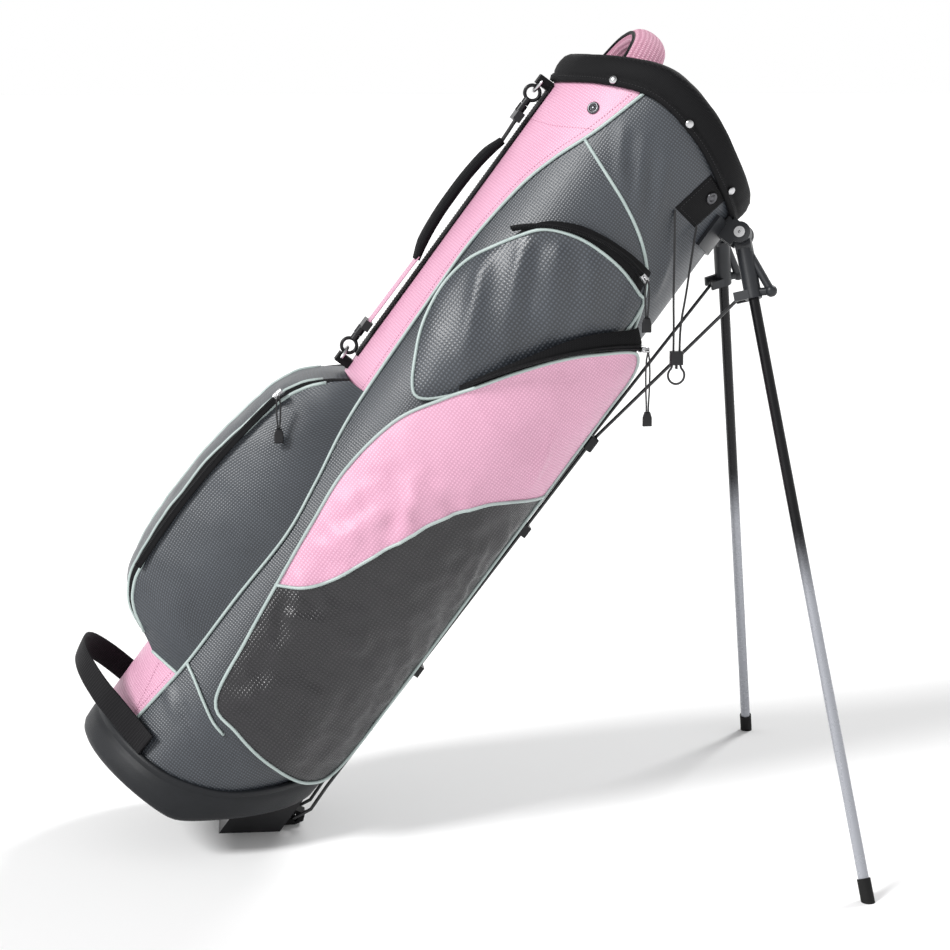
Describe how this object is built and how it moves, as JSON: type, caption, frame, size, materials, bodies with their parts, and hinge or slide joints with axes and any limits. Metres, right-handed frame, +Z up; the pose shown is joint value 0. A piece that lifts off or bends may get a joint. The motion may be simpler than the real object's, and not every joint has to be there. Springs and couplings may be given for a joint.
{
  "type": "golf stand bag",
  "caption": "Upright golf bag of sewn fabric leaning on two folding legs, with zipped side pockets, a padded mouth cuff with dividers, and a sole pedal that works the legs.",
  "frame": {"origin": "on the floor, under the middle of the standing bag's bounding box", "axes": "+Z up; +X towards the side the legs spread to; Y across the bag, with the zipped clothing pocket on -Y"},
  "size_m": [0.757, 0.5618, 0.8093],
  "materials": {
    "black_plastic": "satin moulded",
    "charcoal_plastic": "fine grain",
    "rod_plastic": "pultruded",
    "zip_plastic": "coil zip",
    "pink_fabric": "woven nylon",
    "grey_fabric": "dobby weave nylon",
    "black_fabric": "woven nylon",
    "pink_mesh": "padded air mesh",
    "black_mesh": "padded air mesh",
    "black_webbing": "webbing",
    "black_cord": "braided",
    "steel_ring": "plated wire",
    "steel_wire": "drawn wire",
    "bright_metal": "nickel plated",
    "dark_metal": "gunmetal plated",
    "painted_leg": "gloss paint fading to bare silver",
    "black_rubber": "moulded"
  },
  "bodies": {
    "bag": {"base_boot": "black_plastic", "spine_panel": "pink_fabric", "right_panel": "grey_fabric", "left_panel": "grey_fabric", "belly_panel": "black_fabric", "collar_ring": "black_plastic", "collar_cuff": "black_fabric", "divider_bars": "black_fabric", "lift_pad": "pink_mesh", "stay_rods": "rod_plastic", "ball_pocket": "pink_fabric", "apparel_pocket": "grey_fabric", "upper_pocket": "grey_fabric", "accessory_pocket": "grey_fabric", "mesh_pouch": "black_mesh", "hip_pad": "black_mesh", "grab_loop": "black_webbing", "spine_strip": "pink_fabric", "carry_handle": "black_mesh", "strap_webbing": "black_webbing", "strap_eyes": "black_plastic", "ring_tabs": "black_webbing", "stand_yoke": "charcoal_plastic", "pivot_pins": "bright_metal", "wire_guides": "black_plastic", "pedal_housing": "black_plastic", "pedal_pin": "bright_metal", "collar_rivets": "bright_metal", "hood_studs": "dark_metal", "bungee_patch": "black_fabric", "bungee_cord": "black_cord", "apparel_zip": "zip_plastic", "upper_zip": "zip_plastic", "accessory_zip": "zip_plastic", "ball_zip": "zip_plastic"},
    "left_leg": {"left_leg_bracket": "charcoal_plastic", "left_leg_tube": "painted_leg", "left_leg_foot": "black_rubber"},
    "right_leg": {"right_leg_bracket": "charcoal_plastic", "right_leg_tube": "painted_leg", "right_leg_foot": "black_rubber"},
    "push_wires": {"push_wires": "steel_wire", "wire_junction": "black_plastic"},
    "left_rod": {"left_push_rod": "steel_wire"},
    "right_rod": {"right_push_rod": "steel_wire"},
    "pedal": {"base_pedal": "black_plastic"},
    "upper_ring": {"upper_ring": "steel_ring"},
    "lower_ring": {"lower_ring": "steel_ring"},
    "upper_hook": {"upper_hook": "black_plastic"},
    "lower_hook": {"lower_hook": "black_plastic"},
    "cord_lock": {"cord_lock": "black_plastic"},
    "cord_lock_button": {"cord_lock_button": "black_plastic"},
    "apparel_slider": {"apparel_slider": "bright_metal"},
    "apparel_puller": {"apparel_puller": "black_cord"},
    "upper_slider": {"upper_slider": "bright_metal"},
    "upper_puller": {"upper_puller": "black_cord"},
    "accessory_slider": {"accessory_slider": "bright_metal"},
    "accessory_puller": {"accessory_puller": "black_cord"},
    "ball_slider": {"ball_slider": "bright_metal"},
    "ball_puller": {"ball_puller": "black_cord"}
  },
  "joints": [
    {"name": "left_leg_fold", "type": "hinge", "parent": "bag", "child": "left_leg", "pos_m": [0.28454, -0.052, 0.60829], "axis": [0.3683, 0.8892, -0.2715], "range_deg": [0, 47.94]},
    {"name": "right_leg_fold", "type": "hinge", "parent": "bag", "child": "right_leg", "pos_m": [0.28454, 0.052, 0.60829], "axis": [-0.3683, 0.8892, 0.2715], "range_deg": [0, 47.94]},
    {"name": "wire_slide", "type": "slide", "parent": "bag", "child": "push_wires", "axis": [-0.6096, 0, -0.7927], "range_m": [0, 0.01515]},
    {"name": "left_rod_swing", "type": "hinge", "parent": "push_wires", "child": "left_rod", "pos_m": [0.14428, -0.007, 0.39613], "axis": [-0.5055, -0.8566, 0.1038], "range_deg": [0, 13.7]},
    {"name": "right_rod_swing", "type": "hinge", "parent": "push_wires", "child": "right_rod", "pos_m": [0.14428, 0.007, 0.39613], "axis": [0.5055, -0.8566, -0.1038], "range_deg": [0, 13.7]},
    {"name": "pedal_press", "type": "hinge", "parent": "bag", "child": "pedal", "pos_m": [-0.19212, 0, 0.02916], "axis": [0, 1, 0], "range_deg": [0, 23.41]},
    {"name": "upper_ring_swing", "type": "hinge", "parent": "bag", "child": "upper_ring", "pos_m": [0.09114, 0, 0.75461], "axis": [0, 1, 0], "range_deg": [-10, 10]},
    {"name": "lower_ring_swing", "type": "hinge", "parent": "bag", "child": "lower_ring", "pos_m": [-0.10707, 0, 0.48577], "axis": [0, 1, 0], "range_deg": [-10, 10]},
    {"name": "upper_hook_swivel", "type": "hinge", "parent": "bag", "child": "upper_hook", "pos_m": [0.06443, 0, 0.71839], "axis": [0.5934, 0, 0.8049], "range_deg": [-15, 15]},
    {"name": "lower_hook_swivel", "type": "hinge", "parent": "bag", "child": "lower_hook", "pos_m": [-0.08036, 0, 0.52199], "axis": [0.5934, 0, 0.8049], "range_deg": [-15, 15]},
    {"name": "apparel_zip_slide", "type": "hinge", "parent": "bag", "child": "apparel_slider", "pos_m": [0.07671, 0.01992, 0.40026], "axis": [0.2457, -0.5015, -0.8295], "range_deg": [0, 55.7]},
    {"name": "apparel_puller_swing", "type": "hinge", "parent": "apparel_slider", "child": "apparel_puller", "pos_m": [0.18508, -0.10121, 0.49899], "axis": [-0.7682, -0.6403, 0], "range_deg": [0, 30]},
    {"name": "upper_zip_slide", "type": "hinge", "parent": "bag", "child": "upper_slider", "pos_m": [0.10065, -0.0532, 0.54537], "axis": [-0.3017, -0.7122, -0.6339], "range_deg": [0, 84.7]},
    {"name": "upper_puller_swing", "type": "hinge", "parent": "upper_slider", "child": "upper_puller", "pos_m": [0.18086, -0.11583, 0.57043], "axis": [-0.9252, -0.3794, 0], "range_deg": [0, 30]},
    {"name": "accessory_zip_slide", "type": "hinge", "parent": "bag", "child": "accessory_slider", "pos_m": [0.0923, 0.20624, 0.09806], "axis": [0.1857, -0.9716, -0.1467], "range_deg": [0, 50.6]},
    {"name": "accessory_puller_swing", "type": "hinge", "parent": "accessory_slider", "child": "accessory_puller", "pos_m": [-0.02464, 0.1443, 0.40388], "axis": [0.9991, 0.0421, 0], "range_deg": [0, 30]},
    {"name": "ball_zip_slide", "type": "hinge", "parent": "bag", "child": "ball_slider", "pos_m": [0.40252, -0.13984, -0.17021], "axis": [-0.0788, -0.9951, 0.0592], "range_deg": [0, 13.8]},
    {"name": "ball_puller_swing", "type": "hinge", "parent": "ball_slider", "child": "ball_puller", "pos_m": [-0.17098, -0.07212, 0.45711], "axis": [-1, 0, 0], "range_deg": [0, 30]},
    {"name": "cord_lock_slide", "type": "slide", "parent": "bag", "child": "cord_lock", "axis": [0, 0, 1], "range_m": [0, 0.01]},
    {"name": "cord_lock_press", "type": "slide", "parent": "cord_lock", "child": "cord_lock_button", "axis": [0, 0, 1], "range_m": [0, 0.0025], "stiffness_N_per_m": 250}
  ],
  "couplings": [
    {"joint": "right_leg_fold", "follows": "left_leg_fold", "ratio": 1},
    {"joint": "wire_slide", "follows": "left_leg_fold", "m_per_rad": 0.018106},
    {"joint": "left_rod_swing", "follows": "left_leg_fold", "ratio": 0.28577},
    {"joint": "right_rod_swing", "follows": "left_leg_fold", "ratio": 0.28577},
    {"joint": "pedal_press", "follows": "left_leg_fold", "ratio": 0.48832}
  ]
}
